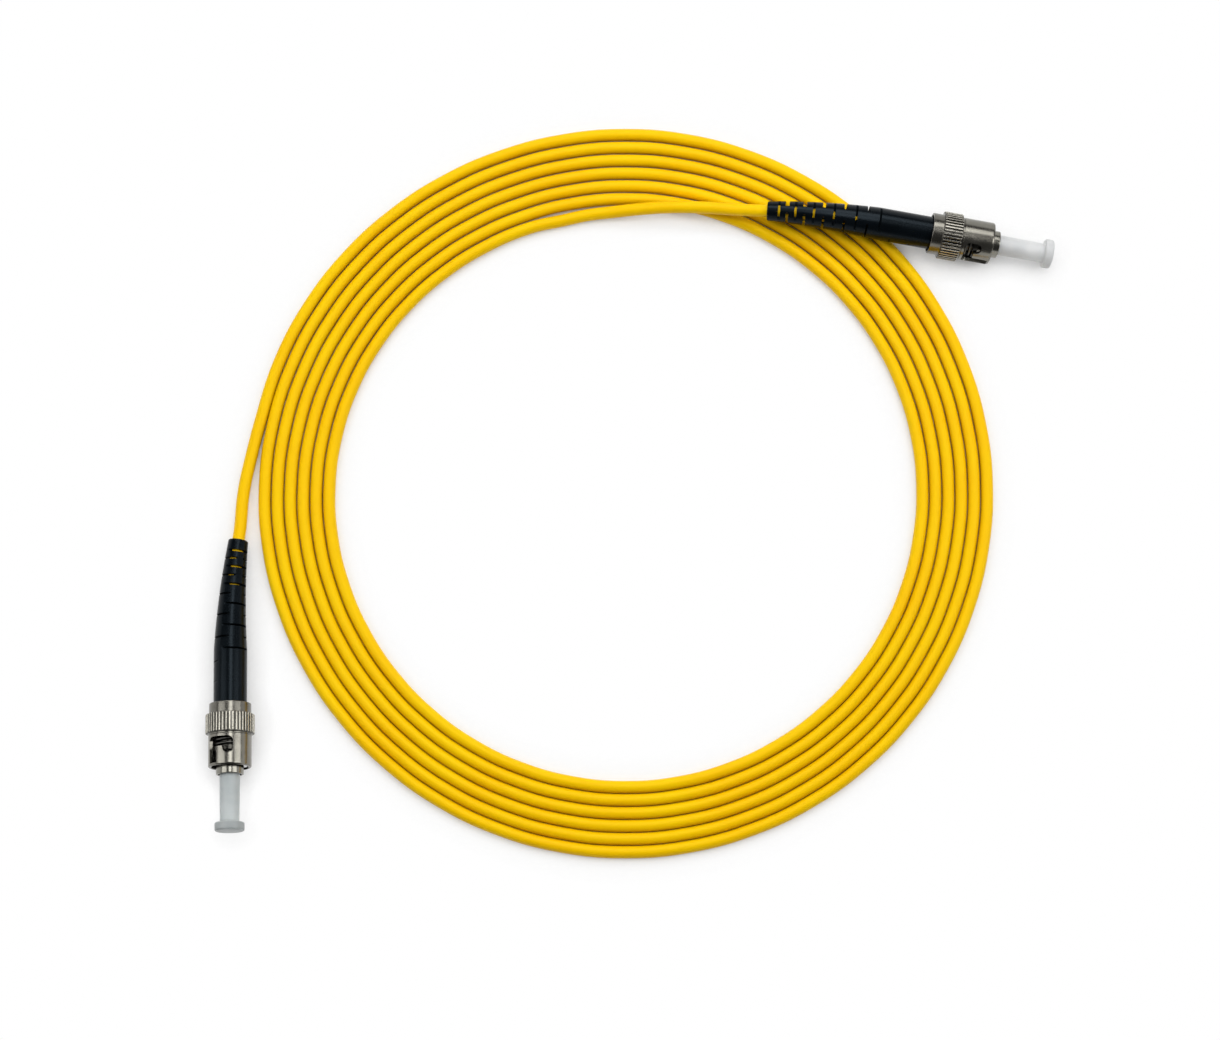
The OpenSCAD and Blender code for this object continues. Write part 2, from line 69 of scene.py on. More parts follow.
nut = {  # a key that ends in D is a diameter, in T a thickness and in L a length along the plug
    "mouthL": 1.2, "webT": 1.0, "collarL": 2.4, "collarD": 9.25, "gripL": 4.4, "gripD": 10.8,
    "barrelL": 7.35, "barrelD": 9.5, "boreD": 8.1, "neckBoreD": 5.7, "mouthD": 8.3,
    "ribs": 44, "ribDepth": 0.3, "slotW": 2.2, "lockTurn": 47, "hookL": 1.6, "lipL": 0.55,
    "grooveD": 8.9, "edge": 0.25, "crown": 0.1, "play": 0.03, "crossGap": 1.0,
    "entryRound": 0.15, "cornerTurn": 1.5, "wallMid": 0.35, "bevelT": 0.1, "bevelL": 0.12,
    "reliefT": 0.12, "reliefL": 0.35, "reliefEnd": 0.4,
}
boot = {
    "front": 0.3, "length": 37.2, "d": 7.35, "tailD": 4.4, "taperL": 25.0, "boreD": 3.0,
    "rows": 11, "firstCut": 2.7, "step": 1.75, "growth": 0.05, "closedCore": 1.55, "lastCore": 2.15,
    "faceCutW": 0.55, "cutWEnd": 0.45, "notches": ((9.2, 3.38), (4.7, 3.5)), "ring": 0.8,
    "mouthD": 5.8, "mouthL": 0.7, "sleeveD": 5.4, "sleeveL": 7.8, "throatD": 4.1, "throatL": 12.0,
}
cable = {  # held: how far behind the nut its end is; clearL: straight past the boot; rings: knots in a turn
    "d": 2.8, "held": 9.5, "clearL": 3.0, "length": 3.0, "rings": 36,
}
coil = {
    "at": (-2.4, 6.6), "r": 84.5, "oval": 0.4, "air": 0.05, "looseAir": 0.2, "turns": 6,
    "from": 170, "rest": 60, "jogFrom": 195, "jogSpan": 95,
}

straightL = boot["length"] - boot["taperL"]  # the part of a boot that neither tapers nor bends
turnPitch = cable["d"] + coil["air"]
coilLeft = (coil["at"][0] - coil["r"], coil["at"][1])
innerR = coil["r"] - (coil["turns"] + 1) * (turnPitch + coil["looseAir"])
coilTop = (coil["at"][0], coil["at"][1] + innerR)
gripRear = nut["collarL"] + nut["edge"]
gripFront = nut["collarL"] + nut["gripL"] - nut["edge"]
pitchA = asin((nut["gripD"] - boot["tailD"]) / 2 / (boot["length"] + gripRear))
layAir, overTurn = 0.12, 9  # boot B over the outer turn: the air between them, and how far behind the nut
pitchB = -asin((cable["d"] + layAir + (boot["d"] - nut["gripD"]) / 2) / (overTurn + gripFront))
# bend and bendWay: how far a boot bends, and which way round the plug; slotTurn and hookAt: where the boot's
# cuts and the nut's slots stand round it, in degrees. cutW: how wide the side cuts are by the tail; opening:
# how much wider they gape on one side, from the bend; core: how near to the axis the cuts by the tail reach;
# coreStep: how much less deep each next row is; openRows: how many rows open into the bore.
plugs = {
    "a": {
        "at": (coilLeft[0] - 2.7, coilLeft[1] - 49.8), "yaw": -88.4, "pitch": pitchA,
        "z": nut["gripD"] / 2 * cos(pitchA) - gripRear * sin(pitchA),
        "bend": 7.5, "bendWay": 90, "slotTurn": -31, "hookAt": 179,
        "cutW": 0.45, "opening": 0, "core": 0.55, "coreStep": 0.06, "openRows": 5,
    },
    "b": {
        "at": (coilTop[0] + 69, coilTop[1] - 5.8), "yaw": -9.2, "pitch": pitchB,
        "z": nut["gripD"] / 2 * cos(pitchB) - gripFront * sin(pitchB),
        "bend": 11.3, "bendWay": -23, "slotTurn": 0, "hookAt": 219,
        "cutW": 0.8, "opening": 0.16, "core": 0.7, "coreStep": 0.09, "openRows": 10,
    },
}


def layMatrix(side):  # from a plug's own axis to where it lies, still in millimetres
    plug = plugs[side]
    turn = Matrix.Rotation(radians(plug["yaw"]), 4, "Z")
    tip = Matrix.Rotation(pi / 2 - plug["pitch"], 4, "Y")
    return Matrix.Translation((*plug["at"], plug["z"])) @ turn @ tip


def bootTurn(s, side):  # how far the boot has turned off the plug's axis, s behind the nut
    return radians(plugs[side]["bend"]) * max(0, s - straightL) / boot["taperL"]


def bootPoint(s, side):  # the boot's centre line, s behind the nut
    radius = boot["taperL"] / radians(plugs[side]["bend"])
    turn, way = bootTurn(s, side), radians(plugs[side]["bendWay"])
    off = radius * (1 - cos(turn))
    return Vector((off * cos(way), off * sin(way), -min(s, straightL) - radius * sin(turn)))


# Where the cable runs between a plug and the coil: offsets from coilLeft and from coilTop, and its height
# over the place where it lies on the table.
routeA = [(-1.4, -3.4, 0.25), (-0.8, 1.2, 0.1), (0, 5.2, 0)]
routeB = [
    (-14.2, -1.6, 0), (-8.6, -0.4, 0.2), (-3.6, 0.1, 0.65), (0.6, 0.4, 1.35), (4.6, 0.6, 2.05),
    (8.8, 0.7, 2.7), (13.6, 0.6, 3.3), (19, 0.3, 3.8), (24.4, -0.2, 4.2),
]


def smoothStep(t):
    t = min(max(t, 0), 1)
    return t * t * (3 - 2 * t)


def coilPoint(wound):  # the coil's line after so many degrees, a step further in on every turn
    angle = coil["from"] - wound
    turns = (wound + coil["jogFrom"] - coil["from"]) / 360
    stepsIn = floor(turns) + smoothStep((turns - floor(turns)) * 360 / coil["jogSpan"])
    pitch = turnPitch + coil["looseAir"] * ((1 + sin(radians(angle))) / 2) ** 2
    radius = coil["r"] - coil["oval"] * cos(radians(2 * angle)) - stepsIn * pitch
    x, y = coil["at"]
    return Vector((x + radius * cos(radians(angle)), y + radius * sin(radians(angle)), cable["d"] / 2))


def cablePath():
    layA, layB = layMatrix("a"), layMatrix("b")
    inBoot = [cable["held"], straightL] + [straightL + boot["taperL"] * i / 4 for i in range(1, 5)]
    inBoot.append(boot["length"] + cable["clearL"])
    points = [layA @ bootPoint(s, "a") for s in inBoot]
    points += [Vector((coilLeft[0] + x, coilLeft[1] + y, cable["d"] / 2 + z)) for x, y, z in routeA]
    sweep = 360 * coil["turns"] + coil["rest"]
    steps = round(sweep * cable["rings"] / 360)
    points += [coilPoint(sweep * i / steps) for i in range(steps + 1)]
    points += [Vector((coilTop[0] + x, coilTop[1] + y, cable["d"] / 2 + z)) for x, y, z in routeB]
    points += [layB @ bootPoint(s, "b") for s in reversed(inBoot)]
    return [point / 1000 for point in points]


def makeCable():
    line = bpy.data.curves.new("cable", "CURVE")
    line.dimensions = "3D"
    line.resolution_u = 5
    line.bevel_depth = 1  # times each knot's radius, by which the curve's box reaches past its knots
    line.bevel_resolution = 6
    line.use_fill_caps = True
    path = cablePath()
    spline = line.splines.new("BEZIER")
    spline.bezier_points.add(len(path) - 1)
    for knot, point in zip(spline.bezier_points, path):
        knot.co = point
        knot.handle_left_type = knot.handle_right_type = "AUTO"
        knot.radius = cable["d"] / 2000
    piece = bpy.data.objects.new("cable", line)
    bpy.context.scene.collection.objects.link(piece)
    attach(piece, "cord")
    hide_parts("cable_coil", "cable_tail_a", "cable_tail_b", "cable_end_a", "cable_end_b")
    return piece


cablePiece = makeCable()
print("cable wound")


def hexColour(code):
    parts = [int(code[i:i + 2], 16) / 255 for i in (1, 3, 5)]
    return [p / 12.92 if p <= 0.04045 else ((p + 0.055) / 1.055) ** 2.4 for p in parts] + [1]


def addNode(tree, kind, settings=None, sockets=None, links=None):
    node = tree.nodes.new("ShaderNode" + kind)
    for name, value in (settings or {}).items():
        setattr(node, name, value)
    for name, value in (sockets or {}).items():
        node.inputs[name].default_value = value
    for name, source in (links or {}).items():
        tree.links.new(source, node.inputs[name])
    return node


def newMaterial(name):
    material = bpy.data.materials.new(name)
    material.use_nodes = True
    material.node_tree.nodes.clear()
    return material, material.node_tree


def finishMaterial(tree, surface):
    addNode(tree, "OutputMaterial", links={"Surface": surface.outputs[0]})


def noiseOf(tree, size, detail=3):  # in object space, which is in metres; its patches are `size` mm wide
    place = addNode(tree, "TexCoord").outputs["Object"]
    spread = {"Scale": 1000 / size, "Detail": detail}
    return addNode(tree, "TexNoise", sockets=spread, links={"Vector": place}).outputs["Fac"]


def between(tree, low, high, source, start=0.0, end=1.0):  # low to high as the source goes from start to end
    span = {"From Min": start, "From Max": end, "To Min": low, "To Max": high}
    return addNode(tree, "MapRange", sockets=span, links={"Value": source}).outputs["Result"]


def grooves(tree, depth, strength, height):  # a bump whose grooves are `depth` metres deep
    bump = addNode(tree, "Bump", sockets={"Strength": strength, "Distance": depth}, links={"Height": height})
    return bump.outputs["Normal"]


def openness(tree, reach, samples, onlyLocal=True):  # 1 in the open, less beside a surface within `reach` m
    settings = {"samples": samples, "only_local": onlyLocal}
    return addNode(tree, "AmbientOcclusion", settings, {"Distance": reach}).outputs["AO"]


def combine(tree, operation, first, second):
    return addNode(tree, "Math", {"operation": operation}, links={0: first, 1: second}).outputs[0]


def blendOf(tree, low, high, source, start=0.35, end=0.65):  # colour from low to high along a noise
    ramp = addNode(tree, "ValToRGB", links={"Fac": source})
    ramp.color_ramp.elements[0].position, ramp.color_ramp.elements[1].position = start, end
    ramp.color_ramp.elements[0].color, ramp.color_ramp.elements[1].color = hexColour(low), hexColour(high)
    return ramp.outputs["Color"]


def shadeRamp(tree, shadeStops, source):  # a painted shade factor for a colour, one grey for each place along the source
    ramp = addNode(tree, "ValToRGB", links={"Fac": source})
    marks = ramp.color_ramp.elements
    for i, (position, grey) in enumerate(shadeStops):
        mark = marks[i] if i < 2 else marks.new(position)
        mark.position, mark.color = position, (grey, grey, grey, 1)
    return ramp.outputs["Color"]


def shaded(tree, colour, factor):
    return addNode(tree, "VectorMath", {"operation": "MULTIPLY"}, links={0: colour, 1: factor}).outputs[0]


# PVC extruded round the yarn and drawn off through water: the die leaves patches about 17 mm long, the
# skin sets with a 0.6 mm grain, so the eye sees a satin yellow with a soft, slightly uneven highlight.
# Where two turns touch, the yellow is darkened to brown by occlusion, a painted shade in the grooves.
def jacketPvc():
    material, tree = newMaterial("jacketPvc")
    soft, fine = noiseOf(tree, 17), noiseOf(tree, 0.6, 2)
    # painted shade: the yellow is darkened towards brown where the cable's own turns close in round it
    grooveShade = shadeRamp(tree, [(0.0, 0.55), (0.5, 0.74), (0.9, 1.0)], openness(tree, cable["d"] / 1000, 12))
    yellow = blendOf(tree, "#FFC800", "#FFD000", soft)
    finishMaterial(tree, addNode(
        tree, "BsdfPrincipled",
        sockets={"IOR": 1.52, "Specular IOR Level": 0.35, "Specular Tint": hexColour("#FFE27A")},
        links={"Base Color": shaded(tree, yellow, grooveShade), "Roughness": between(tree, 0.38, 0.52, soft),
               "Normal": grooves(tree, 0.0001, 0.12, fine)}))
    return material


# Thermoplastic elastomer moulded in a spark-eroded tool: the 0.22 mm grain breaks up the highlight and
# the 4.5 mm flow patches vary it, so the eye sees a blue-black satin with no clear reflections. The walls
# of the cuts, less than 1 mm apart, are dull with dust.
def bootElastomer():
    material, tree = newMaterial("bootElastomer")
    grain, cloud = noiseOf(tree, 0.22, 2), noiseOf(tree, 4.5)
    dull = between(tree, 0.95, 0.0, openness(tree, 0.001, 8), 0.3, 0.85)
    finishMaterial(tree, addNode(
        tree, "BsdfPrincipled",
        sockets={"IOR": 1.5, "Specular IOR Level": 0.13, "Specular Tint": hexColour("#D6EEFF")},
        links={"Base Color": blendOf(tree, "#04070A", "#080C10", cloud),
               "Roughness": combine(tree, "MAXIMUM", between(tree, 0.2, 0.28, cloud), dull),
               "Normal": grooves(tree, 0.00005, 0.25, grain)}))
    return material


# Brass turned at a feed of 0.12 mm, then plated with nickel in a barrel: the turning marks show through as
# a faint drag across the highlight and the plate has 3 mm patches of finer and coarser gloss, so the eye sees
# warm grey metal. A painted shade keeps the rib tops bright and darkens the recesses, the bore and what lies
# inside.
# along: "radius" or "height" on the plug's axis; shadeStops: how much of the plate's brightness the painted
# shade leaves so many millimetres along it.
def platedNickel(name, low, high, roughLow, roughHigh, along, shadeStops):
    material, tree = newMaterial(name)
    cloud, feed = noiseOf(tree, 2.9, 4), 0.12
    spot = addNode(tree, "Attribute", {"attribute_name": "alongPlug"}).outputs["Vector"]
    if along == "radius":
        flat = addNode(tree, "VectorMath", {"operation": "MULTIPLY"}, {1: (1, 1, 0)}, {0: spot}).outputs[0]
        reach = addNode(tree, "VectorMath", {"operation": "LENGTH"}, links={0: flat}).outputs["Value"]
    else:
        reach = addNode(tree, "SeparateXYZ", links={0: spot}).outputs["Z"]
    full = 20.0  # millimetres, past the far end of the plug body
    share = between(tree, 0, 1, reach, 0, full)
    # painted shade: how much of the plate's brightness is left at each place along the plug
    paintedShade = shadeRamp(tree, [(reached / full, grey) for reached, grey in shadeStops], share)
    perMm = pi / 10  # the pitch of a wave texture of Scale 1
    marks = addNode(tree, "TexWave", {"bands_direction": "Z"},
                    {"Scale": perMm / feed, "Distortion": 0.6, "Detail": 2}, {"Vector": spot})
    finishMaterial(tree, addNode(
        tree, "BsdfPrincipled", sockets={"Metallic": 1.0},
        links={"Base Color": shaded(tree, blendOf(tree, low, high, cloud), paintedShade),
               "Roughness": between(tree, roughLow, roughHigh, cloud),
               "Normal": grooves(tree, 0.00002, 0.05, marks.outputs["Fac"])}))
    return material


flangeSpan = (25.6, 26.6)  # millimetres along the plug where a cap's tube turns into its flange, over which the flange's painted shade comes in


# Low density polyethylene, injection moulded: milky, lets some light through, and has 4 mm sink patches
# where the skin is a little glossier; the solid flange is painted darker than the hollow tube behind it, a
# painted shade.
# flange: the flange's painted shade, its brightness as a share of the tube's.
def capPolyethylene(name, low, high, flange):
    material, tree = newMaterial(name)
    cloud = noiseOf(tree, 3.8)
    spot = addNode(tree, "Attribute", {"attribute_name": "alongPlug"}).outputs["Vector"]
    height = addNode(tree, "SeparateXYZ", links={0: spot}).outputs["Z"]
    share = between(tree, 0, 1, height, *flangeSpan)
    # painted shade: the flange's colour is darkened to the share given by flange
    milkAndShade = shaded(tree, blendOf(tree, low, high, cloud), shadeRamp(tree, [(0, 1), (1, flange)], share))
    finishMaterial(tree, addNode(
        tree, "BsdfPrincipled",
        sockets={"IOR": 1.51, "Transmission Weight": 0.35, "Subsurface Weight": 0.3,
                 "Subsurface Radius": (1, 1, 1), "Subsurface Scale": 0.0015},
        links={"Base Color": milkAndShade, "Roughness": between(tree, 0.3, 0.42, cloud)}))
    return material


def plainFinish(name, low, high, rough, metallic=0.0, patch=2):  # for what lies inside; patch in mm
    material, tree = newMaterial(name)
    finishMaterial(tree, addNode(
        tree, "BsdfPrincipled", sockets={"Metallic": metallic, "Roughness": rough},
        links={"Base Color": blendOf(tree, low, high, noiseOf(tree, patch))}))
    return material


finish = {
    "jacket": jacketPvc(),
    "boot": bootElastomer(),
    # the nut's and the body's stops are painted shade: grooves, the bore and what lies inside the nut are
    # darker
    "nut": platedNickel("turnedNickelPlate", "#9B988E", "#ACA99F", 0.18, 0.28, "radius", [
        (0, 0.2), (4.0, 0.2), (4.12, 0.42), (4.66, 0.42), (4.72, 0.58), (4.8, 0.58),
        (4.95, 0.16), (5.12, 0.2), (5.33, 1)]),
    "body": platedNickel("smoothNickelPlate", "#7A7870", "#88867E", 0.16, 0.26, "height", [
        (0, 0.2), (10.7, 0.2), (10.9, 0.55), (12.6, 0.55), (13.2, 1)]),
    # the last number of each cap is its flange's painted shade
    "capA": capPolyethylene("capPolyethyleneGrey", "#CBD3D4", "#D8DEDE", 0.72),
    "capB": capPolyethylene("capPolyethyleneWhite", "#EDEFF0", "#F5F6F6", 0.93),
    "ceramic": plainFinish("polishedZirconia", "#EFECE2", "#F5F3EC", 0.15),  # sintered, lapped: glossy white
    "steel": plainFinish("turnedSteel", "#7E7D7A", "#8E8D8A", 0.3, 1.0),  # turned from bar: plain grey gloss
    "spring": plainFinish("drawnSpringSteel", "#4E4D4A", "#5C5B57", 0.3, 1.0),  # drawn wire: thin highlight; its grey is painted dark, a painted shade for where it lies inside the nut
    "yarn": plainFinish("aramidYarn", "#D9BC55", "#E8D27C", 0.7, patch=0.4),  # spun bundles: matt straw
    "buffer": plainFinish("bufferNylon", "#ECEAE4", "#F4F3EF", 0.4),  # extruded nylon: even, waxy white
}
cablePiece.data.materials.append(finish["jacket"])
print("materials mixed")


def alone(piece):
    bpy.ops.object.select_all(action="DESELECT")
    piece.select_set(True)
    bpy.context.view_layer.objects.active = piece


def rounded(corners, radius, steps=3):  # an outline with rounded corners; a corner may give its own radius
    outline = []
    count = len(corners)
    for i, corner in enumerate(corners):
        here = Vector(corner[:2])
        size = corner[2] if len(corner) > 2 else radius
        before, after = Vector(corners[i - 1][:2]) - here, Vector(corners[(i + 1) % count][:2]) - here
        if size <= 0:
            outline.append(tuple(here))
            continue
        start = here + before.normalized() * min(size, before.length * 0.45)
        end = here + after.normalized() * min(size, after.length * 0.45)
        for step in range(steps + 1):
            t = step / steps
            outline.append(tuple((1 - t) ** 2 * start + 2 * t * (1 - t) * here + t * t * end))
    return outline


def spun(name, outline, sides):  # an outline of (radius, height) turned round the axis; stays in edit mode
    bpy.ops.object.select_all(action="DESELECT")
    radius, height = outline[0]
    bpy.ops.mesh.primitive_circle_add(vertices=sides, radius=radius, location=(0, 0, height))
    piece = bpy.context.object
    piece.name = piece.data.name = name
    bpy.ops.object.transform_apply(location=True, rotation=True, scale=True)
    bpy.ops.object.mode_set(mode="EDIT")
    bpy.ops.mesh.select_mode(type="VERT")
    bpy.ops.mesh.select_all(action="SELECT")
    for nextRadius, nextHeight in outline[1:]:
        bpy.ops.mesh.extrude_region_move(TRANSFORM_OT_translate={"value": (0, 0, nextHeight - height)})
        grow = nextRadius / radius
        bpy.ops.transform.resize(value=(grow, grow, 1), center_override=(0, 0, nextHeight))
        radius, height = nextRadius, nextHeight
    return piece


def turned(name, outline, sides=64):  # the same with the outline closed, as a solid
    piece = spun(name, outline + outline[:1], sides)
    bpy.ops.mesh.select_all(action="SELECT")
    bpy.ops.mesh.remove_doubles(threshold=0.001)
    bpy.ops.mesh.normals_make_consistent(inside=False)
    bpy.ops.object.mode_set(mode="OBJECT")
    return piece


def useModifier(piece, kind, **settings):
    alone(piece)
    modifier = piece.modifiers.new(kind.lower(), kind)
    for name, value in settings.items():
        setattr(modifier, name, value)
    bpy.ops.object.modifier_apply(modifier=modifier.name)


def cutWith(piece, cutter):
    useModifier(piece, "BOOLEAN", operation="DIFFERENCE", solver="EXACT", object=cutter)
    bpy.data.objects.remove(cutter)


def layDown(piece, side, body, material, *replaced, angle=35, slot=None, evened=True):
    alone(piece)
    bpy.ops.object.shade_smooth_by_angle(angle=radians(angle))
    if evened:
        useModifier(piece, "WEIGHTED_NORMAL", keep_sharp=True)
    spots = piece.data.attributes.new("alongPlug", "FLOAT_VECTOR", "POINT")
    for spot, vertex in zip(spots.data, piece.data.vertices):
        spot.vector = vertex.co
    piece.data.transform(Matrix.Scale(0.001, 4) @ layMatrix(side))
    piece.data.materials.clear()
    piece.data.materials.append(material)
    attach(piece, body)
    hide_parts(*replaced)
    return piece


def bootRadius(s):
    share = min(1, (boot["length"] - s) / boot["taperL"])
    return (boot["tailD"] + (boot["d"] - boot["tailD"]) * share) / 2


def bootOutline():  # as (radius, height, corner), with a ring of points at every step where it bends
    outer = [(bootRadius(boot["length"]), -boot["length"], 0.35)]
    reach = boot["length"] - boot["ring"]
    while reach > straightL + 0.3:
        outer.append((bootRadius(reach), -reach, 0))
        reach -= boot["ring"]
    outer += [(boot["d"] / 2, -straightL, 0), (boot["d"] / 2, boot["front"], 0.3)]
    mouth, sleeve, throat, bore = (boot[key] / 2 for key in ("mouthD", "sleeveD", "throatD", "boreD"))
    inner = [(mouth, boot["front"], 0.15), (mouth, -boot["mouthL"], 0), (sleeve, -boot["mouthL"], 0),
             (sleeve, -boot["sleeveL"], 0), (throat, -boot["sleeveL"], 0), (throat, -boot["throatL"], 0),
             (bore, -boot["throatL"] - 0.4, 0)]
    reach = boot["throatL"] + 1.2
    while reach < boot["length"] - 0.5:
        inner.append((bore, -reach, 0))
        reach += boot["ring"]
    inner.append((bore, -boot["length"], 0.12))
    return rounded(outer + inner, 0.2)


def bootCuts(plug):  # (s, width, how much wider one side opens, core left between the pair, whether sideways)
    cuts = []
    for row in range(boot["rows"]):
        s = boot["length"] - boot["firstCut"] - boot["step"] * row - boot["growth"] * row * row
        wide = plug["cutW"] if row % 2 else boot["faceCutW"]
        width = wide + (boot["cutWEnd"] - wide) * row / (boot["rows"] - 1)
        opened = plug["opening"] * (1 - row / boot["rows"]) if row % 2 else 0
        core = plug["core"] + plug["coreStep"] * row
        if row >= plug["openRows"]:  # from here on the cuts stop short of the cable
            core = boot["closedCore"] + plug["coreStep"] * (row - plug["openRows"])
        if row == boot["rows"] - 1:
            core = boot["lastCore"]
        cuts.append((s, width, opened, core, row % 2))
    return cuts + [(s, boot["cutWEnd"], 0, core, 1) for s, core in boot["notches"]]  # two last, shallow marks


def makeBoot(side):
    piece = turned("strainReliefBoot_" + side, bootOutline())
    plug = plugs[side]
    cutters = []
    for s, width, opened, core, sideways in bootCuts(plug):
        for flank in (1, -1):
            bpy.ops.object.select_all(action="DESELECT")
            deep = boot["d"] / 2
            middle = flank * (core + deep / 2)
            place = (0, middle, -s) if sideways else (middle, 0, -s)
            bpy.ops.mesh.primitive_cube_add(size=1, location=place)
            cutter = bpy.context.object
            span, gap = boot["d"] + 2, width + opened * flank
            cutter.scale = (span, deep, gap) if sideways else (deep, span, gap)
            bpy.ops.object.transform_apply(location=True, rotation=True, scale=True)
            cutters.append(cutter)
    bpy.ops.object.select_all(action="DESELECT")
    for cutter in cutters:
        cutter.select_set(True)
    bpy.context.view_layer.objects.active = cutters[0]
    bpy.ops.object.join()
    cutters[0].rotation_euler = (0, 0, radians(plug["slotTurn"]))
    cutWith(piece, cutters[0])
    useModifier(piece, "BEVEL", width=0.05, segments=2, limit_method="ANGLE", angle_limit=radians(50))
    turnTo = Matrix.Rotation(radians(plug["bendWay"]), 4, "Z")
    for vertex in piece.data.vertices:
        s = -vertex.co.z
        if s > straightL:
            swing = turnTo @ Matrix.Rotation(-bootTurn(s, side), 4, "Y") @ turnTo.inverted()
            vertex.co = bootPoint(s, side) + swing @ Vector((vertex.co.x, vertex.co.y, 0))
    return layDown(
        piece, side, "cord", finish["boot"], "strain_relief_boot_" + side, angle=30, slot="boot_rubber")


def slotHalfTurn():  # half of a slot's width as an angle, in degrees, at the middle of the barrel's wall
    return degrees(nut["slotW"] / 2 / (nut["barrelD"] / 2 - nut["wallMid"]))


def slotArc(angle, height, start, end, steps=6):  # a round end of a slot, from one bearing to another
    half, wide = nut["slotW"] / 2, slotHalfTurn()
    bearings = [radians(start + (end - start) * i / steps) for i in range(steps + 1)]
    return [(angle + wide * cos(bearing), height + half * sin(bearing)) for bearing in bearings]


def slotOutline(hook):  # one bayonet slot laid out as (angle, height), from its hook to its entry
    half, wide, corner = nut["slotW"] / 2, slotHalfTurn(), nut["cornerTurn"]
    entry = hook + nut["lockTurn"]
    crossZ = nut["collarL"] + nut["gripL"] + nut["crossGap"] + half
    top = nut["collarL"] + nut["gripL"] + nut["barrelL"] - nut["lipL"]
    points = slotArc(hook, crossZ, 270, 180)
    points += slotArc(hook, crossZ + nut["hookL"], 180, 0, 10)
    points += [(hook + wide + corner, crossZ + half), (entry - wide - corner, crossZ + half)]
    points += [(entry - wide, crossZ + half + nut["entryRound"]), (entry - wide, top), (entry + wide, top)]
    points += slotArc(entry, crossZ, 360, 270)
    return points


def radialCutter(points, inner, outer):  # a plate that stands on the outline, from one radius to another
    bpy.ops.object.select_all(action="DESELECT")
    bpy.ops.mesh.primitive_circle_add(vertices=len(points), fill_type="NGON")
    cutter = bpy.context.object
    for vertex, (angle, height) in zip(cutter.data.vertices, points):
        vertex.co = (inner * cos(radians(angle)), inner * sin(radians(angle)), height)
    bpy.ops.object.mode_set(mode="EDIT")
    bpy.ops.mesh.select_mode(type="FACE")
    bpy.ops.mesh.select_all(action="SELECT")
    bpy.ops.mesh.extrude_region_move()
    bpy.ops.transform.resize(value=(outer / inner, outer / inner, 1), center_override=(0, 0, 0))
    bpy.ops.mesh.select_all(action="SELECT")
    bpy.ops.mesh.quads_convert_to_tris()
    bpy.ops.mesh.normals_make_consistent(inside=False)
    bpy.ops.object.mode_set(mode="OBJECT")
    return cutter


def makeNut(side):
    r = {key: value / 2 for key, value in nut.items() if key.endswith("D")}
    gripEnd = nut["collarL"] + nut["gripL"]
    length = gripEnd + nut["barrelL"]
    root = r["gripD"] - nut["ribDepth"]
    webRear = nut["mouthL"] + nut["play"]  # the web turns just clear of the ring and the washer beside it
    webFront = nut["mouthL"] + nut["webT"] - nut["play"]
    corners = [
        (r["mouthD"], 0, 0.12), (r["collarD"], 0, 0.2), (r["collarD"], nut["collarL"], 0.1),
        (root - nut["bevelT"], nut["collarL"], 0.1), (root, nut["collarL"] + nut["bevelL"], 0),
        (root, gripEnd - nut["bevelL"], 0), (root - nut["bevelT"], gripEnd, 0.1),
        (r["barrelD"] - nut["reliefT"], gripEnd, 0.06),
        (r["barrelD"] - nut["reliefT"], gripEnd + nut["reliefL"], 0.06),
        (r["barrelD"], gripEnd + nut["reliefEnd"], 0.06),
        (r["barrelD"], length, 0.5), (r["boreD"], length, 0.15), (r["boreD"], webFront, 0.1),
        (r["neckBoreD"], webFront, 0.08), (r["neckBoreD"], webRear, 0.08), (r["mouthD"], webRear, 0.1),
    ]
    piece = turned("couplingNut_" + side, rounded(corners, 0.1), nut["ribs"] * 4)
    bpy.ops.object.mode_set(mode="EDIT")
    bpy.ops.mesh.select_mode(type="FACE")
    bpy.ops.mesh.select_all(action="DESELECT")
    bpy.ops.object.mode_set(mode="OBJECT")
    low, high = nut["collarL"] + nut["bevelT"], gripEnd - nut["bevelT"]
    for face in piece.data.polygons:  # two faces of every four round the grip stand up as a rib
        x, y, z = face.center
        onGrip = low < z < high and hypot(x, y) > root - 0.08
        share = (degrees(atan2(y, x)) % 360) / 360 * nut["ribs"] * 4
        face.select = onGrip and int(share) % 4 < 2
    bpy.ops.object.mode_set(mode="EDIT")
    bpy.ops.mesh.extrude_region_shrink_fatten(TRANSFORM_OT_shrink_fatten={"value": nut["ribDepth"]})
    bpy.ops.mesh.region_to_loop()
    bpy.ops.mesh.bevel(offset=nut["crown"], segments=3, affect="EDGES")
    bpy.ops.object.mode_set(mode="OBJECT")
    cutFrom, cutTo = 3.7, 6.5  # radii inside the bore and outside the ribs, between which the slots are cut
    lipRear, lipFront = length - nut["lipL"] - 0.2, length + 0.4  # overlaps the slot, and ends in the open
    for turn in (0, 180):
        cutWith(piece, radialCutter(slotOutline(plugs[side]["hookAt"] + turn), cutFrom, cutTo))
        entry = plugs[side]["hookAt"] + turn + nut["lockTurn"]
        wide = slotHalfTurn()
        lip = [(entry - wide, lipRear), (entry, lipRear), (entry + wide, lipRear),
               (entry + wide, lipFront), (entry, lipFront), (entry - wide, lipFront)]
        cutWith(piece, radialCutter(lip, cutFrom, r["grooveD"]))
    useModifier(piece, "BEVEL", width=0.06, segments=2, limit_method="ANGLE", angle_limit=radians(48))
    return layDown(
        piece, side, "nut_" + side, finish["nut"], "coupling_nut_" + side, angle=40, slot="nickel")


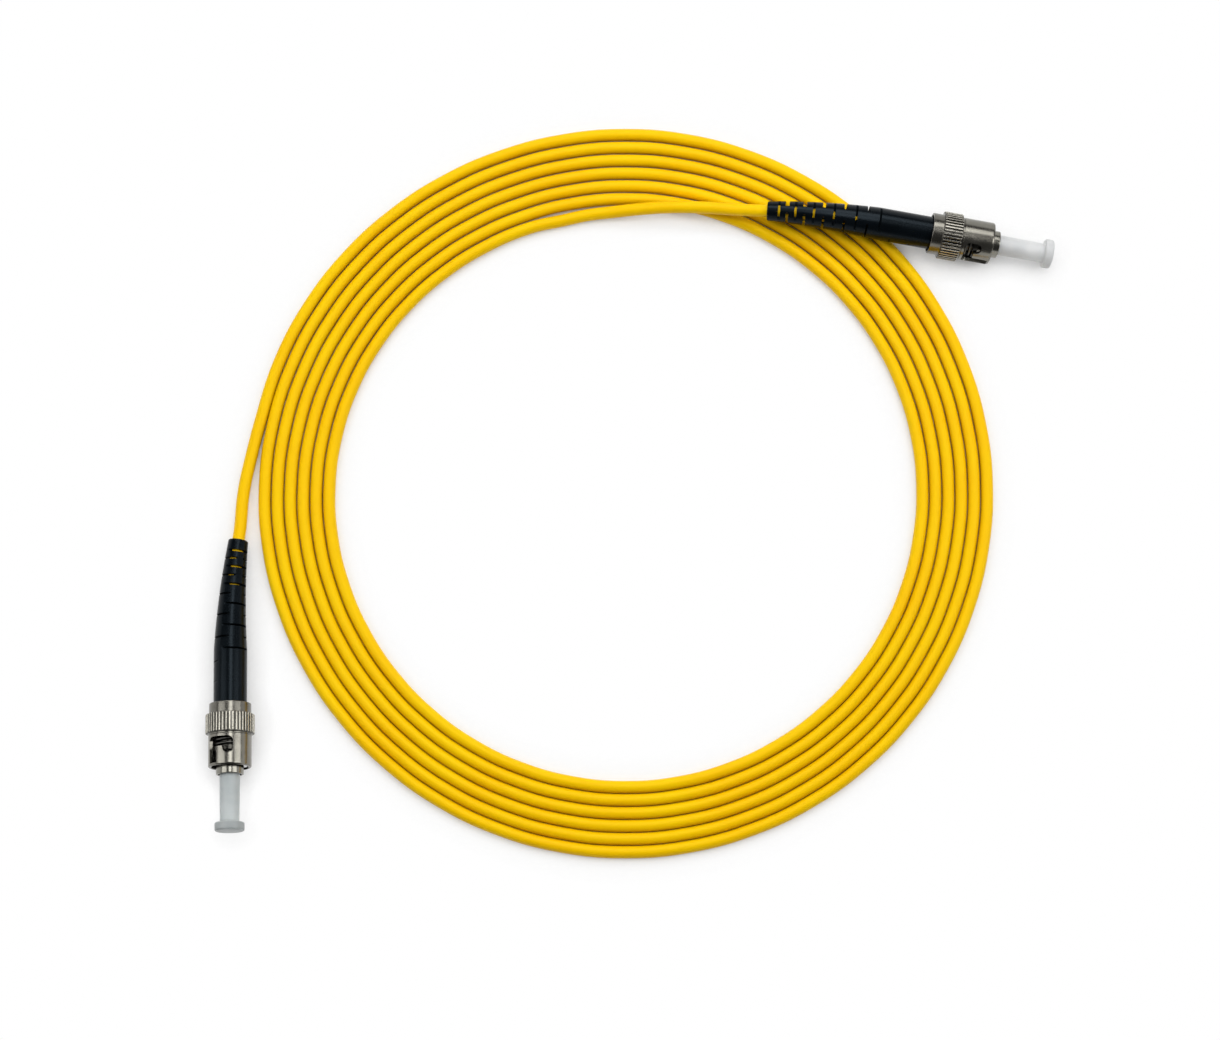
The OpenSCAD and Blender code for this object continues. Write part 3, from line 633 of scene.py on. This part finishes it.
body = {
    "neckD": 5.6, "shoulderD": 7.9, "shoulderZ": 9.8, "shoulderT": 1.0, "pilotD": 6.1, "pilotOut": 1.6,
    "pilotBoreD": 5.16, "pilotDepth": 2.6, "pilotRootL": 2.1, "pilotRootT": 0.25, "holderD": 3.84,
    "holderRear": 4.6, "keyR": 3.3, "keyT": 1.1, "keyW": 1.5, "keyL": 1.8, "keySink": 0.05,
    "ringD": 4.6, "ringRear": 0.55, "ringFront": 1.2, "neckRear": -0.5, "crimpD": 4.0, "fibreD": 1.2,
    "rear": -6.5,
}
spring = {"meanD": 7.0, "wireD": 0.5, "curls": 7, "from": 2.6, "length": 7.2, "travel": 2.2, "rings": 24}
cap = {
    "tubeD": 4.56, "tipD": 4.24, "seatL": 1.8, "tubeL": 10.5, "flangeD": 6.55, "flangeT": 1.95,
    "boreD": 2.6, "boreEnd": 21.95,
}
nutLength = nut["collarL"] + nut["gripL"] + nut["barrelL"]
pilotEnd = nutLength + body["pilotOut"]


def makeBody(side):
    r = {key: value / 2 for key, value in body.items() if key.endswith("D")}
    pilotZ, floorZ = body["shoulderZ"] + body["shoulderT"], pilotEnd - body["pilotDepth"]
    rootR, rootEnd = r["pilotD"] - body["pilotRootT"], pilotZ + body["pilotRootL"]
    corners = [
        (r["pilotBoreD"], pilotEnd, 0.1), (r["pilotD"], pilotEnd, 0.22), (r["pilotD"], rootEnd, 0.05),
        (rootR, rootEnd, 0.05), (rootR, pilotZ, 0.1), (r["shoulderD"], pilotZ, 0.2),
        (r["shoulderD"], body["shoulderZ"], 0.1), (r["neckD"], body["shoulderZ"], 0.1),
        (r["neckD"], body["ringFront"], 0.03), (r["ringD"], body["ringFront"], 0.03),
        (r["ringD"], body["ringRear"], 0.03), (r["neckD"], body["ringRear"], 0.03),
        (r["neckD"], body["neckRear"], 0.2), (r["crimpD"], body["neckRear"], 0.1),
        (r["crimpD"], body["rear"], 0.1), (r["fibreD"], body["rear"], 0.1),
        (r["fibreD"], body["holderRear"], 0.05), (r["holderD"], body["holderRear"], 0.05),
        (r["holderD"], floorZ, 0.05), (r["pilotBoreD"], floorZ, 0.05),
    ]
    piece = turned("plugBody_" + side, rounded(corners, 0.1, 2), 72)
    bpy.ops.object.select_all(action="DESELECT")
    place = (body["keyR"], 0, pilotZ + body["keyL"] / 2 - body["keySink"])
    bpy.ops.mesh.primitive_cube_add(size=1, location=place)
    key = bpy.context.object
    key.scale = (body["keyT"], body["keyW"], body["keyL"] + 2 * body["keySink"])
    bpy.ops.object.transform_apply(location=True, rotation=True, scale=True)
    useModifier(key, "BEVEL", width=0.12, segments=3, limit_method="NONE")
    useModifier(piece, "BOOLEAN", operation="UNION", solver="EXACT", object=key)
    bpy.data.objects.remove(key)
    return layDown(piece, side, "cord", finish["body"], "plug_body_" + side, angle=38, slot="nickel")


def makeSpring(side):
    line = bpy.data.curves.new("nutSpring_" + side, "CURVE")
    line.dimensions = "3D"
    line.bevel_depth = spring["wireD"] / 2
    line.bevel_resolution = 3
    line.use_fill_caps = True
    count = spring["curls"] * spring["rings"]
    path = line.splines.new("POLY")
    path.points.add(count)
    for i, point in enumerate(path.points):
        angle = 2 * pi * i / spring["rings"]
        height = spring["from"] + spring["wireD"] / 2 + (spring["length"] - spring["wireD"]) * i / count
        point.co = (spring["meanD"] / 2 * cos(angle), spring["meanD"] / 2 * sin(angle), height, 1)
    piece = bpy.data.objects.new("nutSpring_" + side, line)
    bpy.context.scene.collection.objects.link(piece)
    alone(piece)
    bpy.ops.object.convert(target="MESH")
    piece = bpy.context.object
    steel = finish["spring"]
    layDown(piece, side, "cord", steel, "nut_spring_" + side, angle=60, slot="spring_steel", evened=False)
    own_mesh(piece)
    return piece


def makeCap(side):
    rear, flange = pilotEnd - cap["seatL"], pilotEnd + cap["tubeL"]
    front = flange + cap["flangeT"]
    core = 0.02  # as near to the axis as a turned outline goes
    corners = [
        (cap["boreD"] / 2, rear, 0.2), (cap["tubeD"] / 2, rear, 0.15), (cap["tipD"] / 2, flange, 0.25),
        (cap["flangeD"] / 2, flange, 0.4), (cap["flangeD"] / 2, front, 0.55), (0.3, front, 0),
        (core, front, 0), (core, cap["boreEnd"], 0), (cap["boreD"] / 2, cap["boreEnd"], 0.3),
    ]
    piece = turned("dustCap_" + side, rounded(corners, 0.2, 5))
    milkAndShade = finish["cap" + side.upper()]
    return layDown(piece, side, "cap_" + side, milkAndShade, "dust_cap_" + side, angle=50, slot="cap_plastic")


insideLooks = {  # the finish of each solid that is kept as it was packed
    "ferrule": "ceramic", "ferrule_holder": "steel", "thrust_washer": "steel", "retaining_ring": "spring",
    "crimp_sleeve": "steel", "aramid_yarn": "yarn", "buffered_fibre": "buffer",
}
for side in plugs:
    makeBoot(side)
    print("boot", side, "moulded")
    makeNut(side)
    print("nut", side, "turned")
    makeBody(side)
    makeSpring(side)
    makeCap(side)
    for name, look in insideLooks.items():
        solid = nodes[name + "_" + side]
        solid.data.materials.clear()
        solid.data.materials.append(finish[look])
    print("plug", side, "assembled")

studio = {"reach": 3.0, "cove": 0.3, "wall": 1.0, "drop": 0.00002, "contact": 0.006}  # metres
skyStrength = 0.08
lamps = {  # metres and watts
    "topBox": {"place": (0.06, 0.22, 0.85), "target": (0, 0.05, 0), "size": (0.26, 0.36), "power": 1.5},
    "northBox": {"place": (0.0, 0.62, 0.72), "target": (0, 0, 0), "size": (0.8, 0.4), "power": 4.4},
    "leftBox": {"place": (-0.62, 0.0, 0.62), "target": (-0.05, 0, 0), "size": (0.35, 0.6), "power": 2.0},
    "rightBox": {"place": (0.62, 0.05, 0.62), "target": (0.05, 0, 0), "size": (0.35, 0.6), "power": 2.5},
}


# Matt white paper sheet with a faint 1.1 mm cloud. It is lifted to full white for the camera and in
# reflections, apart from where something stands close to it, so that it keeps the contact shadow.
def paleTable():
    material, tree = newMaterial("whiteTable")
    paper = blendOf(tree, "#F1F1F0", "#F5F5F4", noiseOf(tree, 1.1, 2))
    matt = addNode(tree, "BsdfDiffuse", links={"Color": paper})
    lifted = addNode(tree, "Emission", sockets={"Color": (1, 1, 1, 1), "Strength": 1.0})
    rays = addNode(tree, "LightPath")
    seen = rays.outputs["Is Camera Ray"]
    for kind in ("Is Glossy Ray", "Is Transmission Ray"):
        seen = combine(tree, "MAXIMUM", seen, rays.outputs[kind])
    free = openness(tree, studio["contact"], 8, onlyLocal=False)
    clear = addNode(tree, "Math", {"operation": "POWER"}, {1: 1.5}, {0: free}).outputs[0]
    share = combine(tree, "MULTIPLY", seen, clear)
    finishMaterial(tree, addNode(
        tree, "MixShader", links={0: share, 1: matt.outputs[0], 2: lifted.outputs[0]}))
    return material


def layTable():  # a round sheet that curves up into a low wall all round, as a photographer's sweep does
    cove = studio["cove"]
    outline = [(studio["reach"] + cove, studio["wall"])]
    for turn in range(0, 91, 15):
        outline.append((studio["reach"] + cove * cos(radians(turn)), cove - cove * sin(radians(turn))))
    table = spun("table", outline, 96)
    bpy.ops.mesh.edge_face_add()
    bpy.ops.mesh.select_all(action="SELECT")
    bpy.ops.transform.translate(value=(0, 0, -studio["drop"]))  # a hair under what lies on it
    bpy.ops.mesh.normals_make_consistent(inside=True)
    bpy.ops.object.mode_set(mode="OBJECT")
    bpy.ops.object.shade_smooth_by_angle(angle=radians(30))
    table.data.materials.append(paleTable())


def areaLight(name, place, target, size, power):
    lamp = bpy.data.lights.new(name, "AREA")
    lamp.shape, lamp.size, lamp.size_y = "RECTANGLE", size[0], size[1]
    lamp.energy = power
    piece = bpy.data.objects.new(name, lamp)
    piece.location = place
    piece.rotation_euler = (Vector(target) - Vector(place)).to_track_quat("-Z", "Y").to_euler()
    bpy.context.scene.collection.objects.link(piece)


def lightStudio():  # one soft box over the table and three round it, in a dim room
    world = bpy.data.worlds.new("studio")
    bpy.context.scene.world = world
    world.use_nodes = True
    tree = world.node_tree
    tree.nodes.clear()
    sky = addNode(tree, "Background", sockets={"Color": (1, 1, 1, 1), "Strength": skyStrength})
    addNode(tree, "OutputWorld", links={"Surface": sky.outputs[0]})
    for name, lamp in lamps.items():
        areaLight(name, **lamp)


layTable()
lightStudio()
bpy.context.scene.view_settings.view_transform = "Standard"
print("table laid and lamps set")
